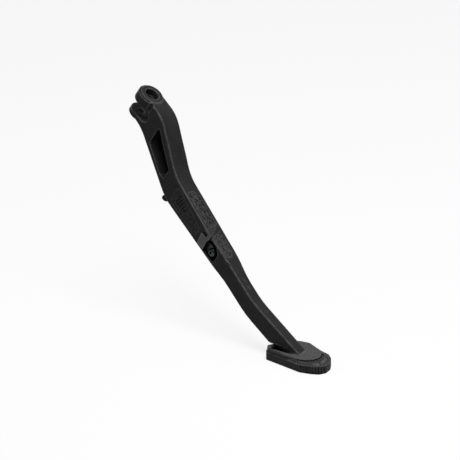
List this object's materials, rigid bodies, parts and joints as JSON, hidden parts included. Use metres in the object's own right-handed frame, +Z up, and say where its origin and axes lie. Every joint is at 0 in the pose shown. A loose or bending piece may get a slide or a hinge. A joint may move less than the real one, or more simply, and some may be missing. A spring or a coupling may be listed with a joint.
{
  "type": "motorcycle side stand",
  "caption": "Bent black alloy side stand with a forked pivot head, grip inserts, a kick tab, a spring post and a wide serrated foot.",
  "frame": {"origin": "on the pivot axis, in the middle of the outer ear's bore, with the stand lowered and its sole level", "axes": "+X from the pivot towards the foot's toe, +Y away from the leg's near face with the pocket, +Z up from the level sole; the pivot axis leans along (0.507, 0.174, 0.844)"},
  "size_m": [0.3245, 0.0474, 0.231],
  "materials": {
    "leg_alloy": "satin black anodised",
    "foot_alloy": "satin black anodised, blasted",
    "tab_alloy": "satin dark grey anodised",
    "side_composite": "satin chopped fibre composite",
    "grip_composite": "satin chopped fibre composite",
    "screw_steel": "dark polished steel",
    "post_steel": "black oxide"
  },
  "bodies": {
    "root": {"leg": "leg_alloy", "spring_post": "post_steel", "side_insert": "side_composite", "upper_insert": "grip_composite", "lower_insert": "grip_composite", "kick_tab": "tab_alloy", "tab_screw": "screw_steel", "foot": "foot_alloy", "foot_screw_heel": "screw_steel", "foot_screw_toe": "screw_steel"}
  },
  "joints": []
}
